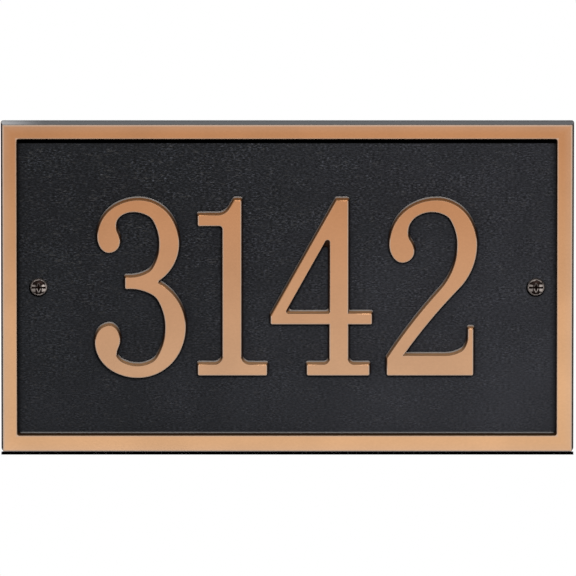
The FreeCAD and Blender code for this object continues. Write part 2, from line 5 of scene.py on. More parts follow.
import bmesh
import bpy
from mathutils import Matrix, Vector


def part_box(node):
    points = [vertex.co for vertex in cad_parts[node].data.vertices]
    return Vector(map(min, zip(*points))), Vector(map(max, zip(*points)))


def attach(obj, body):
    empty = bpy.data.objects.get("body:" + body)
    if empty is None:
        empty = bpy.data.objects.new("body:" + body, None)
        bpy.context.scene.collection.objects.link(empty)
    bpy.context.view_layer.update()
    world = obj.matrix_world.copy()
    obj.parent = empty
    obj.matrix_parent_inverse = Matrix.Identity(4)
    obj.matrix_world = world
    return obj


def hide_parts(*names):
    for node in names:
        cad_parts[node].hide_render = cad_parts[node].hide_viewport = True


bl_info = {
    "name": "House Number Plaque",
    "version": (1, 0, 0),
    "blender": (4, 5, 0),
    "location": "3D View > Sidebar > Plaque",
    "description": "Finishes for a cast house number plaque and its pieces, with a studio stage",
    "category": "Object",
}

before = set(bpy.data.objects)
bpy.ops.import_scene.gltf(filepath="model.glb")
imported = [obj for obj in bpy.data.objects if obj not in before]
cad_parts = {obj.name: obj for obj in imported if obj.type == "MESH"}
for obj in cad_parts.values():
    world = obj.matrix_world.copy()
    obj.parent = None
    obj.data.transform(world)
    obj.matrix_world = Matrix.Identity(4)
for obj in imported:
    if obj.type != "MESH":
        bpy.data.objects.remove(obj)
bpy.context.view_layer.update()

MM = 0.001
PLATE_LOW, PLATE_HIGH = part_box("plaque_plate")
NUMERAL_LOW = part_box("numeral_one")[0]
SCREW_LOW, SCREW_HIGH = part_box("screw_right")

FACE = PLATE_LOW[1]  # depth of the border's face
FIELD = -2.6 * MM  # depth of the field
SIDE_SLOPE = 0.81 * MM  # how far the outer sides lean in on their way to the face
FACE_HALF_WIDTH = PLATE_HIGH[0] - SIDE_SLOPE
FACE_HALF_HEIGHT = PLATE_HIGH[2] - SIDE_SLOPE
FIELD_LEFT = PLATE_LOW[0] + 7.71 * MM  # the border's inner edges, at its face
FIELD_RIGHT = PLATE_HIGH[0] - 8.21 * MM
FIELD_FOOT = PLATE_LOW[2] + 8.71 * MM
FIELD_TOP = PLATE_HIGH[2] - 8.01 * MM
WALL_SLOPE = 0.7 * MM  # how far the border's inner walls lean in on their way to the field
SCREW_OUT = (SCREW_LOW[0] + SCREW_HIGH[0]) / 2  # from the plate's middle to a screw's axis
WINDOW_MIDDLE = (12.52 * MM, -4.11 * MM)  # middle of the largest circle in the four's window
WINDOW_RADIUS = 8.09 * MM  # that circle's radius at the face
WINDOW_LEAN = (0.4814, 0.8765)  # direction of the window's long side
HEAD_RINGS = (  # inset and rise of each ring of a screw's head, from the rim inwards
    (0.1 * MM, 0.45 * MM),
    (0.22 * MM, 0.42 * MM),
    (0.38 * MM, 0.33 * MM),
    (0.62 * MM, 0.3 * MM),
    (0.8 * MM, 0.17 * MM),
    (1.0 * MM, 0.09 * MM),
)
RECESS_WINGS = (  # half width and half height of the three cuts of a screw's cross
    (2.1 * MM, 0.3 * MM),
    (0.24 * MM, 2.1 * MM),
    (0.62 * MM, 0.62 * MM),
)
LAMPS = (  # name, place and width in metres, and power in watts
    ("key_lamp", (0.15, -1.2, 0.5), 0.25, 9.0),
    ("fill_lamp", (-0.9, -0.9, 0.3), 0.8, 1.5),
    ("back_lamp", (-0.5, 0.9, 1.3), 0.8, 4.0),
)
SEEING_RAYS = ("Is Camera Ray", "Is Glossy Ray", "Is Transmission Ray")


class Finish:
    """A material's nodes, added one at a time and linked as they are named. Places are Object coordinates."""

    def __init__(self, name):
        self.material = bpy.data.materials.new(name)
        self.material.use_nodes = True
        self.nodes = self.material.node_tree.nodes
        self.links = self.material.node_tree.links
        self.nodes.clear()
        place = self.add("ShaderNodeTexCoord")
        self.place = place.outputs["Object"]
        self.normal = place.outputs["Normal"]
        split = self.add("ShaderNodeSeparateXYZ", Vector=self.place)
        self.across, self.out, self.up = split.outputs

    def add(self, kind, settings=None, **inputs):
        """Adds a node. Inputs are named as their sockets, with _ for a space."""
        new = self.nodes.new(kind)
        for name, value in (settings or {}).items():
            setattr(new, name, value)
        for name, value in inputs.items():
            self.join(value, new.inputs[name.replace("_", " ")])
        return new

    def join(self, value, socket):
        """Links a socket to another, or sets its value."""
        if isinstance(value, bpy.types.NodeSocket):
            self.links.new(value, socket)
        elif socket.type == "RGBA" and len(value) == 3:
            socket.default_value = (*value, 1.0)
        else:
            socket.default_value = value

    def maths(self, operation, *values):
        """A Math node's result."""
        new = self.nodes.new("ShaderNodeMath")
        new.operation = operation
        for value, socket in zip(values, new.inputs):
            self.join(value, socket)
        return new.outputs[0]

    def least(self, *values):
        """The smallest of several numbers."""
        result = values[0]
        for value in values[1:]:
            result = self.maths("MINIMUM", result, value)
        return result

    def most(self, *values):
        """The largest of several numbers."""
        result = values[0]
        for value in values[1:]:
            result = self.maths("MAXIMUM", result, value)
        return result

    def product(self, *values):
        """Several numbers multiplied."""
        result = values[0]
        for value in values[1:]:
            result = self.maths("MULTIPLY", result, value)
        return result

    def sum(self, first, second):
        """Two numbers added."""
        return self.maths("ADD", first, second)

    def less(self, first, second):
        """The first number less the second."""
        return self.maths("SUBTRACT", first, second)

    def size_of(self, value):
        """A number without its sign."""
        return self.maths("ABSOLUTE", value)

    def away(self, first, second):
        """How far a place is from an axis, from its offsets in two directions."""
        return self.maths("SQRT", self.sum(self.product(first, first), self.product(second, second)))

    def from_screw(self):
        """The offset to the right from the nearer screw's axis."""
        return self.less(self.across, self.product(self.maths("SIGN", self.across), SCREW_OUT))

    def step(self, value, low, high, first=0.0, last=1.0, curve="SMOOTHSTEP"):
        """Goes from the first result to the last as the value goes from low to high."""
        new = self.add("ShaderNodeMapRange", {"interpolation_type": curve, "clamp": True}, Value=value)
        for name, given in (("From Min", low), ("From Max", high), ("To Min", first), ("To Max", last)):
            self.join(given, new.inputs[name])
        return new.outputs["Result"]

    def band(self, value, middle, half):
        """1 where the value is at the middle, fading to 0 on both sides."""
        return self.step(self.size_of(self.less(value, middle)), 0.0, half, 1.0, 0.0)

    def blend(self, share, first, second, mode="MIX"):
        """The colour between two others."""
        new = self.add("ShaderNodeMix", {"data_type": "RGBA", "blend_type": mode})
        for value, socket in zip((share, first, second), (new.inputs[0], new.inputs[6], new.inputs[7])):
            self.join(value, socket)
        return new.outputs[2]

    def between(self, share, first, second):
        """The number between two others."""
        new = self.add("ShaderNodeMix", {"data_type": "FLOAT"})
        for value, socket in zip((share, first, second), (new.inputs[0], new.inputs[2], new.inputs[3])):
            self.join(value, socket)
        return new.outputs[0]

    def shaded(self, colour, *shares):
        """A colour multiplied by numbers."""
        share = self.product(*shares)
        grey = self.add("ShaderNodeCombineColor", Red=share, Green=share, Blue=share)
        return self.blend(1.0, colour, grey.outputs[0], "MULTIPLY")

    def grain(self, size, detail=2.0, roughness=0.5, stretch=(1.0, 1.0, 1.0), offset=(0.0, 0.0, 0.0)):
        """Noise from 0 to 1 in lumps about size across, in metres, each axis longer by its stretch."""
        turned = self.add("ShaderNodeMapping", Vector=self.place, Location=offset)
        turned.inputs["Scale"].default_value = tuple(1.0 / (size * part) for part in stretch)
        noise = self.add("ShaderNodeTexNoise", Vector=turned.outputs[0], Detail=detail, Roughness=roughness)
        noise.inputs["Scale"].default_value = 1.0
        return noise.outputs["Fac"]

    def bump(self, height, depth):
        """A normal turned by a height from 0 to 1 that stands for a depth in metres."""
        return self.add("ShaderNodeBump", Height=height, Distance=depth).outputs["Normal"]

    def surface(self, **inputs):
        """Ends the tree in a Principled shader."""
        shader = self.add("ShaderNodeBsdfPrincipled", **inputs)
        self.add("ShaderNodeOutputMaterial", Surface=shader.outputs[0])
        return self.material


def weathered(finish, tone):
    """A copper tone with slow clouding and fine casting marks."""
    cloud = finish.step(finish.grain(28 * MM), 0.3, 0.7, 0.96, 1.04)
    marks = finish.step(finish.grain(1.1 * MM, 3.0, 0.6, (1.6, 1.0, 1.0)), 0.3, 0.75, 0.975, 1.025)
    return finish.shaded(tone, cloud, marks)


def border_copper(finish, sizes, inside):
    """The border's copper: painted lighter downwards as painted light, and lighter outwards and pale along
    its edges as worn bare copper and painted highlight.
    """
    # Lighter towards the bottom: painted light.
    rise = finish.step(finish.up, -50 * MM, 72 * MM, curve="LINEAR")
    tone = finish.blend(rise, sizes.border_low, sizes.border_high)
    out = finish.least(
        finish.less(FACE_HALF_WIDTH, finish.size_of(finish.across)),
        finish.less(FACE_HALF_HEIGHT, finish.size_of(finish.up)),
    )
    # Paler towards the outer edge and along both edges: partly worn bare copper, partly painted highlight.
    tone = finish.blend(finish.step(out, 0.8 * MM, 5.0 * MM, 0.14, 0.0), tone, sizes.wear_and_highlight)
    tone = weathered(finish, tone)
    tone = finish.blend(finish.step(inside, -0.9 * MM, -0.2 * MM, 0.0, 0.55), tone, sizes.wear_and_highlight)
    return finish.blend(finish.step(out, 0.2 * MM, 1.15 * MM, 0.8, 0.0), tone, sizes.wear_and_highlight)


def plate_finish(sizes):
    """The plate's finish: copper on the border's face, dark paint on the field, the walls and the back."""
    finish = Finish("plate_paint_and_copper")
    across, out, up = finish.across, finish.out, finish.up
    from_left, from_right = finish.less(across, FIELD_LEFT), finish.less(FIELD_RIGHT, across)
    from_foot, from_top = finish.less(up, FIELD_FOOT), finish.less(FIELD_TOP, up)
    inside = finish.least(from_left, from_right, from_foot, from_top)

    wobble = finish.grain(1.6 * MM)
    line = finish.maths("MULTIPLY_ADD", wobble, 0.12 * MM, out)
    metal = finish.step(line, FACE + 0.26 * MM, FACE + 0.34 * MM, 1.0, 0.0)

    # The cast grain is strongest at the upper left and fainter towards the lower right.
    relief = finish.product(
        finish.step(across, -60 * MM, 110 * MM, 1.0, 0.62, "LINEAR"),
        finish.step(up, -60 * MM, 45 * MM, 0.5, 1.0, "LINEAR"),
    )
    patch = finish.step(finish.grain(6.0 * MM, 2.0, 0.6, (1.7, 1.0, 1.0)), 0.32, 0.68, 0.62, 1.38)
    relief = finish.product(relief, patch)
    pebble = finish.grain(0.64 * MM, 3.0, 0.6, (2.3, 1.0, 1.0))
    speck = finish.product(finish.less(pebble, 0.5), relief, sizes.contrast)
    mottle = finish.maths("POWER", math.e, speck)
    # Pale flecks on the grain are painted glints.
    glint_fleck = finish.step(finish.grain(0.75 * MM, 2.0, 0.55, (3.2, 1.0, 0.8), (3.0, 1.0, 7.0)), 0.58, 0.72)
    cloud = finish.step(finish.grain(30 * MM, 1.5), 0.3, 0.7, 0.9, 1.1)
    # The field is painted lighter to the right and towards the bottom: painted light.
    paint = finish.blend(finish.step(across, -108 * MM, 106 * MM), sizes.paint, sizes.paint_light)
    paint = finish.shaded(paint, mottle, cloud, finish.step(up, -75 * MM, 70 * MM, 1.24, 0.76))
    paint = finish.blend(finish.product(glint_fleck, relief, 0.45), paint, sizes.glint_fleck)

    # Painted shade lies round the numerals and screws and along the border's walls, darkest under its top,
    # with a painted shadow below and left of each screw's head.
    # The shade is looked for from above and in front, so that it falls beside and below a numeral.
    from_above = finish.add(
        "ShaderNodeVectorTransform",
        {"vector_type": "NORMAL", "convert_from": "OBJECT", "convert_to": "WORLD"},
        Vector=(0.0, -0.85, 0.53),
    )
    near = finish.add(
        "ShaderNodeAmbientOcclusion", {"samples": 16}, Distance=2.2 * MM, Normal=from_above.outputs[0]
    )
    apart = finish.away(finish.sum(finish.from_screw(), 0.22 * MM), finish.sum(up, 0.58 * MM))
    screw_shadow = finish.step(apart, 4.45 * MM, 4.8 * MM)
    shadow = finish.most(
        finish.step(near.outputs["AO"], 0.45, 0.88),
        finish.step(apart, 6.5 * MM, 8.0 * MM, 0.8, 0.0),
    )
    painted_shade = finish.product(
        finish.step(from_top, 2.65 * MM, 3.4 * MM),
        finish.step(from_left, 0.3 * MM, 3.0 * MM, 0.4, 1.0),
        finish.step(from_right, 0.3 * MM, 3.6 * MM, 0.4, 1.0),
        shadow,
        screw_shadow,
    )
    front = finish.step(out, FIELD + 0.6 * MM, FIELD + 1.2 * MM, 1.0, 0.0)
    painted_shade = finish.between(front, 1.0, painted_shade)
    paint = finish.shaded(paint, painted_shade)
    wall = finish.product(
        finish.step(out, FIELD - 0.9 * MM, FIELD - 0.4 * MM, 1.0, 0.0),
        finish.step(inside, -0.4 * MM, -0.2 * MM),
    )
    # The lower wall, which faces up, is painted up to three times lighter: painted light.
    warm = finish.shaded(sizes.wall_paint, finish.step(from_foot, 0.2 * MM, 1.4 * MM, 3.0, 1.0))
    paint = finish.blend(wall, paint, warm)
    # A pale line at the foot of the lower wall is a painted highlight.
    foot = finish.product(
        finish.band(from_foot, WALL_SLOPE, 0.5 * MM),
        front,
        finish.step(out, FIELD - 1.0 * MM, FIELD - 0.6 * MM),
        finish.step(finish.least(from_left, from_right), 1.2 * MM, 2.2 * MM),
    )
    paint = finish.blend(foot, paint, sizes.lower_wall_highlight)

    side = finish.step(inside, -7.3 * MM, -7.1 * MM, 1.0, 0.0)
    # The upper side is painted lighter than the other sides, with a painted highlight fading from its left
    # end: painted light.
    upward = finish.step(up, FACE_HALF_HEIGHT - 0.1 * MM, FACE_HALF_HEIGHT, 0.0, 1.0)
    outer_sides_with_light = finish.blend(upward, sizes.wall_paint, sizes.upper_side_lit)
    bright = finish.product(upward, finish.step(across, PLATE_LOW[0], PLATE_LOW[0] + 22.5 * MM, 1.0, 0.0))
    outer_sides_with_light = finish.blend(bright, outer_sides_with_light, sizes.upper_side_highlight)
    paint = finish.blend(side, paint, outer_sides_with_light)

    sunk = finish.most(wall, finish.step(painted_shade, 0.0, 0.35, 1.0, 0.0))
    grained = finish.product(relief, finish.less(1.0, finish.most(side, wall)))
    rough = finish.between(side, 0.72, finish.between(upward, 0.85, 0.3))
    depth = finish.between(metal, finish.product(grained, 0.16 * MM), 0.012 * MM)
    height = finish.between(metal, pebble, wobble)
    return finish.surface(
        Base_Color=finish.blend(metal, paint, border_copper(finish, sizes, inside)),
        Metallic=finish.most(metal, sunk),
        Roughness=finish.between(metal, rough, 0.36),
        Specular_IOR_Level=0.12,
        Normal=finish.bump(height, depth),
    )


def numeral_finish(sizes):
    """The numerals' finish: satin copper faces painted lighter towards the bottom as painted light, eased
    edges painted pale below and dark above, and brown walls painted lit where they face up, with a painted
    highlight at their foot, and painted in shade elsewhere.
    """
    finish = Finish("numeral_copper")
    face = NUMERAL_LOW[1]
    # The copper is painted lighter towards the numerals' feet: painted light.
    rise = finish.step(finish.up, -40 * MM, 42 * MM, curve="LINEAR")
    copper = weathered(finish, finish.blend(rise, sizes.numeral_low, sizes.numeral_high))
    lean = finish.add("ShaderNodeSeparateXYZ", Vector=finish.normal).outputs["Z"]
    # Walls facing up are painted lit, lighter towards the bottom, with a painted highlight at their foot; the
    # other walls are painted in shade.
    foot = finish.step(finish.out, face + 2.2 * MM, face + 3.4 * MM)
    lit = finish.blend(foot, finish.blend(rise, sizes.lit_wall_low, sizes.lit_wall_high), sizes.wall_foot_highlight)
    side = finish.blend(finish.step(lean, 0.2, 0.95), sizes.wall_shade, lit)
    wall = finish.step(finish.out, face + 0.22 * MM, face + 0.32 * MM)
    # The eased edge round the face is painted pale where it faces down or sideways, a painted highlight, and
    # dark where it faces up, painted shade.
    rim = finish.step(finish.out, face + 0.002 * MM, face + 0.018 * MM)
    edge = finish.blend(finish.step(lean, 0.03, 0.12), sizes.wear_and_highlight, sizes.upper_edge_shade)
    copper = finish.blend(finish.product(rim, 0.75), copper, edge)
    return finish.surface(
        Base_Color=finish.blend(wall, copper, side),
        Metallic=finish.between(wall, 1.0, finish.step(lean, 0.1, 0.7, 0.0, 0.4)),
        Roughness=finish.between(wall, 0.36, 0.5),
        Specular_IOR_Level=0.1,
        Normal=finish.bump(finish.grain(0.9 * MM), 0.012 * MM),
    )


def pad_finish(sizes):
    """The foam pads' finish: matt, with open cells along the cut edge."""
    finish = Finish("pad_foam")
    cells = finish.add("ShaderNodeTexVoronoi", Vector=finish.place)
    cells.inputs["Scale"].default_value = 2600.0
    rim = finish.step(cells.outputs["Distance"], 0.1, 0.7)
    return finish.surface(
        Base_Color=finish.blend(rim, sizes.foam, sizes.foam_rim),
        Roughness=0.9,
        Specular_IOR_Level=0.2,
        Normal=finish.bump(cells.outputs["Distance"], 0.08 * MM),
    )


def screw_finish(sizes):
    """The screws' finish: dark plating, worn bright and with painted highlights on the rim and round the
    slot, a painted glint at the slot's end, and painted shade in the slot and the cross.
    """
    finish = Finish("screw_plating")
    across = finish.from_screw()
    radius = finish.away(across, finish.up)
    wander = finish.step(finish.grain(1.3 * MM, 2.0), 0.3, 0.7, -0.22 * MM, 0.22 * MM)
    height, width = finish.size_of(finish.up), finish.size_of(across)
    worn_and_lit = finish.sum(finish.sum(radius, wander), finish.step(finish.up, -1.5 * MM, 1.5 * MM, 0.2 * MM, 0.0))
    # The bright places are partly worn plating and partly painted highlight: the rim, widest at the bottom,
    # patches beside the slot and lines beside the cross's lower wing.
    rim = finish.product(finish.step(worn_and_lit, 3.5 * MM, 3.8 * MM), 0.72)
    reach = finish.step(finish.up, -0.3 * MM, 0.3 * MM, 1.5 * MM, 0.9 * MM)
    beside = finish.product(
        finish.step(finish.less(finish.sum(height, wander), reach), 0.0, 0.8 * MM, 1.0, 0.0),
        finish.step(width, 1.2 * MM, 2.0 * MM),
        finish.step(across, -1.0 * MM, 1.5 * MM, 0.5, 1.0),
    )
    wing = finish.step(height, 0.3 * MM, 2.1 * MM, 0.9 * MM, 0.1 * MM, "LINEAR")
    ridge = finish.product(
        finish.band(width, finish.sum(wing, 0.12 * MM), 0.34 * MM),
        finish.step(height, 2.1 * MM, 2.5 * MM, 1.0, 0.0),
        finish.step(finish.up, -0.3 * MM, 0.3 * MM, 0.8, 0.15),
    )
    # A painted glint at the right end of the slot.
    slot_end_glint = finish.product(
        finish.band(across, 4.0 * MM, 0.6 * MM),
        finish.band(finish.up, 0.0, 0.8 * MM),
        2.2,
    )
    wear_and_highlight = finish.most(rim, beside, ridge, slot_end_glint)
    # The slot and the deep part of the cross are painted dark: painted shade.
    deep = finish.step(finish.out, SCREW_LOW[1] + 0.75 * MM, SCREW_LOW[1] + 1.15 * MM)
    lips = finish.step(width, 1.4 * MM, 2.6 * MM, 0.34 * MM, 0.5 * MM)
    slot = finish.product(
        finish.step(finish.less(height, lips), 0.0, 0.08 * MM, 1.0, 0.0),
        finish.step(width, 3.45 * MM, 3.6 * MM, 1.0, 0.0),
        finish.step(finish.band(across, -1.5 * MM, 1.0 * MM), 0.2, 0.7, 1.0, 0.5),
    )
    hollow = finish.most(slot, finish.product(deep, finish.step(radius, 2.3 * MM, 2.7 * MM, 1.0, 0.0)))
    tone = finish.blend(finish.least(wear_and_highlight, 1.3), sizes.plating_deep, sizes.plating_wear_and_highlight)
    tone = finish.shaded(tone, finish.step(finish.grain(0.5 * MM, 3.0, 0.6), 0.3, 0.7, 0.8, 1.15))
    shank = finish.step(finish.out, FIELD - 0.1 * MM, FIELD + 0.1 * MM)
    tone = finish.blend(hollow, tone, sizes.recess_shade)
    return finish.surface(
        Base_Color=finish.blend(shank, tone, sizes.plating),
        Metallic=1.0,
        Roughness=0.42,
        Normal=finish.bump(finish.grain(0.4 * MM), 0.01 * MM),
    )


def dress(piece, material):
    """Gives a piece its finish."""
    piece.data.materials.clear()
    piece.data.materials.append(material)


def point_at(thing, target):
    """Turns a lamp or camera to look at a place."""
    thing.rotation_euler = (Vector(target) - thing.location).to_track_quat("-Z", "Y").to_euler()


# The screws are turned and cut as by hand, from primitives, along Y.


def only(thing):
    """Makes an object the only selected and active one."""
    bpy.ops.object.select_all(action="DESELECT")
    thing.select_set(True)
    bpy.context.view_layer.objects.active = thing


def rod(name, radius, start, end, sides=64):
    """A cylinder along Y from start to end, with its front at start."""
    bpy.ops.object.select_all(action="DESELECT")
    bpy.ops.mesh.primitive_cylinder_add(
        vertices=sides,
        radius=radius,
        depth=end - start,
        location=(0.0, (start + end) / 2, 0.0),
        rotation=(math.pi / 2, 0.0, 0.0),
    )
    bpy.ops.object.transform_apply(location=True, rotation=True, scale=False)
    bpy.context.object.name = name
    return bpy.context.object


def block(name, low, high):
    """A box between two corners."""
    bpy.ops.object.select_all(action="DESELECT")
    middle = [(a + b) / 2 for a, b in zip(low, high)]
    bpy.ops.mesh.primitive_cube_add(size=1.0, location=middle, scale=[b - a for a, b in zip(low, high)])
    bpy.ops.object.transform_apply(location=True, rotation=False, scale=True)
    bpy.context.object.name = name
    return bpy.context.object


def pick_faces(thing, test):
    """Selects, in edit mode, the faces whose middle and normal pass a test."""
    bpy.ops.mesh.select_all(action="DESELECT")
    bpy.ops.mesh.select_mode(type="FACE")
    mesh = bmesh.from_edit_mesh(thing.data)
    for face in mesh.faces:
        face.select_set(test(face.calc_center_median(), face.normal))
    mesh.select_flush_mode()
    bmesh.update_edit_mesh(thing.data)


def apply_all(thing):
    """Applies an object's modifiers in their order."""
    only(thing)
    for modifier in list(thing.modifiers):
        bpy.ops.object.modifier_apply(modifier=modifier.name)


def combine(thing, tool, operation):
    """Joins a tool to a thing, cuts it out or keeps what they share, and removes the tool."""
    modifier = thing.modifiers.new("Combine", "BOOLEAN")
    modifier.operation = operation
    modifier.solver = "EXACT"
    modifier.object = tool
    apply_all(thing)
    mesh = tool.data
    bpy.data.objects.remove(tool)
    bpy.data.meshes.remove(mesh)


class PlaqueSizes(bpy.types.PropertyGroup):
    """The finishes' colours and the sizes of the pieces that the scene reshapes."""

    def colour(name, description, value):
        return bpy.props.FloatVectorProperty(
            name=name,
            description=description,
            subtype="COLOR",
            default=value,
        )

    def length(name, description, value):
        return bpy.props.FloatProperty(name=name, description=description, unit="LENGTH", default=value)

    # The top and bottom copper tones make the copper lighter downwards: painted light.
    border_high: colour("Border, top", "Copper at the border's top", (0.438, 0.206, 0.094))
    border_low: colour("Border, bottom", "Copper at the border's bottom", (0.675, 0.388, 0.206))
    numeral_high: colour("Numerals, top", "Copper at the numerals' tops", (0.462, 0.218, 0.103))
    numeral_low: colour("Numerals, bottom", "Copper at the numerals' feet", (0.548, 0.318, 0.184))
    # Pale edges: partly worn bare copper, partly painted highlight.
    wear_and_highlight: colour("Rubbed edge", "Copper rubbed pale along the border's edges", (0.525, 0.41, 0.33))
    # Painted shade along the numerals' upper edges.
    upper_edge_shade: colour("Upper edge", "Tarnish along the numerals' upper edges", (0.15, 0.072, 0.032))
    # The numerals' upward walls, painted lit, lighter towards the bottom.
    lit_wall_high: colour("Tarnish, top", "Tarnish on the numerals' upper walls", (0.43, 0.185, 0.068))
    lit_wall_low: colour("Tarnish, bottom", "Tarnish on the walls at their feet", (0.66, 0.36, 0.175))
    # Painted highlight at the foot of the numerals' upward walls.
    wall_foot_highlight: colour("Wall foot", "Foot of the numerals' walls", (0.72, 0.64, 0.585))
    wall_shade: colour("Shade", "Dark walls and hollows", (0.030, 0.012, 0.005))
    paint: colour("Paint", "Paint at the field's left", (0.0122, 0.0131, 0.0156))
    # Lighter paint at the field's right: painted light.
    paint_light: colour("Paint, right", "Paint at the field's right", (0.0235, 0.0242, 0.0290))
    # Painted glints on the field's grain.
    glint_fleck: colour("Flecks", "Bare flecks on the painted grain", (0.075, 0.072, 0.070))
    wall_paint: colour("Wall paint", "Paint on the border's walls and the sides", (0.028, 0.014, 0.006))
    # Painted highlight at the foot of the border's lower wall.
    lower_wall_highlight: colour("Foot line", "Worn line under the lower wall", (0.21, 0.205, 0.20))
    # The upper side's lighter paint and its left end's highlight are painted light.
    upper_side_lit: colour("Upper side", "Paint on the plate's upper side", (0.060, 0.060, 0.064))
    upper_side_highlight: colour("Upper side, left", "Paint at that side's left end", (0.35, 0.35, 0.36))
    contrast: bpy.props.FloatProperty(
        name="Grain contrast",
        description="How strongly light and dark specks of the cast grain differ",
        default=8.0,
    )
    foam: colour("Foam", "Pads behind the numerals", (0.012, 0.012, 0.012))
    foam_rim: colour("Foam cells", "Edges of the foam's cells", (0.05, 0.05, 0.05))
    plating: colour("Plating", "Dark plating of the screws", (0.022, 0.014, 0.011))
    # Painted shade in the slot and the cross.
    recess_shade: colour("Recess", "Dirt at the bottom of the slot and the cross", (0.008, 0.004, 0.003))
    plating_deep: colour("Plating, hollows", "Plating between the rubbed places", (0.010, 0.006, 0.005))
    # Worn plating and painted highlights on the screws.
    plating_wear_and_highlight: colour("Plating, rubbed", "Plating rubbed bright", (0.43, 0.375, 0.345))

    ease_width: length("Eased edge", "Width of the ease round a numeral's face", 0.2 * MM)
    ease_depth: length("Ease depth", "How far that ease falls", 0.02 * MM)
    numeral_edge: length("Numeral bevel", "Bevel between a numeral's face and its walls", 0.3 * MM)
    numeral_draft: bpy.props.FloatProperty(
        name="Numeral draft",
        description="Slope of a numeral's walls",
        subtype="ANGLE",
        default=math.radians(9.5),
    )
    head_radius: length("Head radius", "Radius of a screw's head", 4.3 * MM)
    slot_length: length("Slot length", "Length of the slot across a head", 7.2 * MM)
    slot_width: length("Slot width", "Width of that slot", 0.9 * MM)
    thread_radius: length("Thread radius", "Radius of the thread's crest", 2.1 * MM)
    core_radius: length("Core radius", "Radius of the shank under the thread", 1.45 * MM)
    thread_pitch: length("Thread pitch", "Distance from turn to turn", 1.7 * MM)
    thread_start: length("Thread start", "Where the thread starts, behind the plate's back", 1.2 * MM)
    neck_radius: length("Neck radius", "Radius of the plain neck under the head", 1.8 * MM)
    point_length: length("Point", "Length of a screw's point", 5.5 * MM)
    recess_edge: length("Recess edge", "Rounding of the head's cut edges", 0.07 * MM)


class StageSizes(bpy.types.PropertyGroup):
    """The floor, the lamps and the camera."""

    floor_gap: bpy.props.FloatProperty(
        name="Floor gap",
        description="Distance from the plaque's lower edge to the floor",
        unit="LENGTH",
        default=0.75 * MM,
    )
    sky: bpy.props.FloatProperty(
        name="Sky",
        description="Strength of the even light from all round",
        default=0.34,
    )
    elevation: bpy.props.FloatProperty(
        name="Camera height",
        description="Angle of the camera above the horizon",
        subtype="ANGLE",
        default=math.radians(13.0),
    )
    lens: bpy.props.FloatProperty(
        name="Lens",
        description="Focal length of the camera, in millimetres",
        default=1500.0,
    )
    view_width: bpy.props.FloatProperty(
        name="View width",
        description="Width of the view at the border's face",
        unit="LENGTH",
        default=280.86 * MM,
    )


class PLAQUE_OT_plate(bpy.types.Operator):
    """Finishes the cast plate with its raised border"""

    bl_idname = "plaque.plate"
    bl_label = "Plate"

    def execute(self, context):
        dress(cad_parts["plaque_plate"], plate_finish(context.scene.plaque_sizes))
        return {"FINISHED"}


class PLAQUE_OT_numerals(bpy.types.Operator):
    """Finishes the four cast numerals, with a rounded edge round their faces, painted pale below and dark
    above
    """

    bl_idname = "plaque.numerals"
    bl_label = "Numerals"

    def execute(self, context):
        sizes = context.scene.plaque_sizes
        material = numeral_finish(sizes)
        for name in ("three", "one", "four", "two"):
            piece = self.cast(name, sizes)
            dress(piece, material)
            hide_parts("numeral_" + name)
            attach(piece, "root")
        return {"FINISHED"}

    def cast(self, name, sizes):
        """A copy of a numeral, whose face is inset so that its edge can be eased."""
        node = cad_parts["numeral_" + name]
        piece = node.copy()
        piece.data = node.data.copy()
        piece.name = "cast_" + name
        bpy.context.scene.collection.objects.link(piece)
        only(piece)
        bpy.ops.mesh.customdata_custom_splitnormals_clear()
        bpy.ops.object.mode_set(mode="EDIT")
        bpy.ops.mesh.select_all(action="SELECT")
        bpy.ops.mesh.remove_doubles(threshold=0.001 * MM)
        if name == "four":
            self.turn_draft(piece, sizes)
        pick_faces(piece, lambda middle, normal: middle.y < NUMERAL_LOW[1] + 0.01 * MM)
        bpy.ops.mesh.inset(thickness=sizes.ease_width)
        mesh = bmesh.from_edit_mesh(piece.data)
        for vertex in mesh.verts:
            if vertex.co.y < NUMERAL_LOW[1] + 0.01 * MM and not vertex.select:
                vertex.co.y += sizes.ease_depth
        bmesh.update_edit_mesh(piece.data)
        bpy.ops.mesh.inset(thickness=sizes.ease_width / 5)
        bpy.ops.object.mode_set(mode="OBJECT")
        bpy.ops.object.shade_smooth_by_angle(angle=math.radians(30))
        return piece

    def turn_draft(self, piece, sizes):
        """Makes the four's window narrow inwards from its face, as it has to leave the sand."""
        mesh = bmesh.from_edit_mesh(piece.data)
        top = NUMERAL_LOW[1] + sizes.numeral_edge
        for vertex in mesh.verts:
            across, up = vertex.co.x - WINDOW_MIDDLE[0], vertex.co.z - WINDOW_MIDDLE[1]
            reach = max(across, -up, up * WINDOW_LEAN[0] - across * WINDOW_LEAN[1])
            if reach < WINDOW_RADIUS + 2 * MM:
                drop = max(0.0, vertex.co.y - top)
                change = drop * math.tan(sizes.numeral_draft) / WINDOW_RADIUS
                scale = (1 - change) / (1 + change)
                vertex.co.x = WINDOW_MIDDLE[0] + across * scale
                vertex.co.z = WINDOW_MIDDLE[1] + up * scale
        bmesh.update_edit_mesh(piece.data)


class PLAQUE_OT_pads(bpy.types.Operator):
    """Finishes the foam pads behind the numerals"""

    bl_idname = "plaque.pads"
    bl_label = "Foam pads"

    def execute(self, context):
        material = pad_finish(context.scene.plaque_sizes)
        for name in ("three", "one", "four", "two"):
            dress(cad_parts["tape_" + name], material)
        return {"FINISHED"}


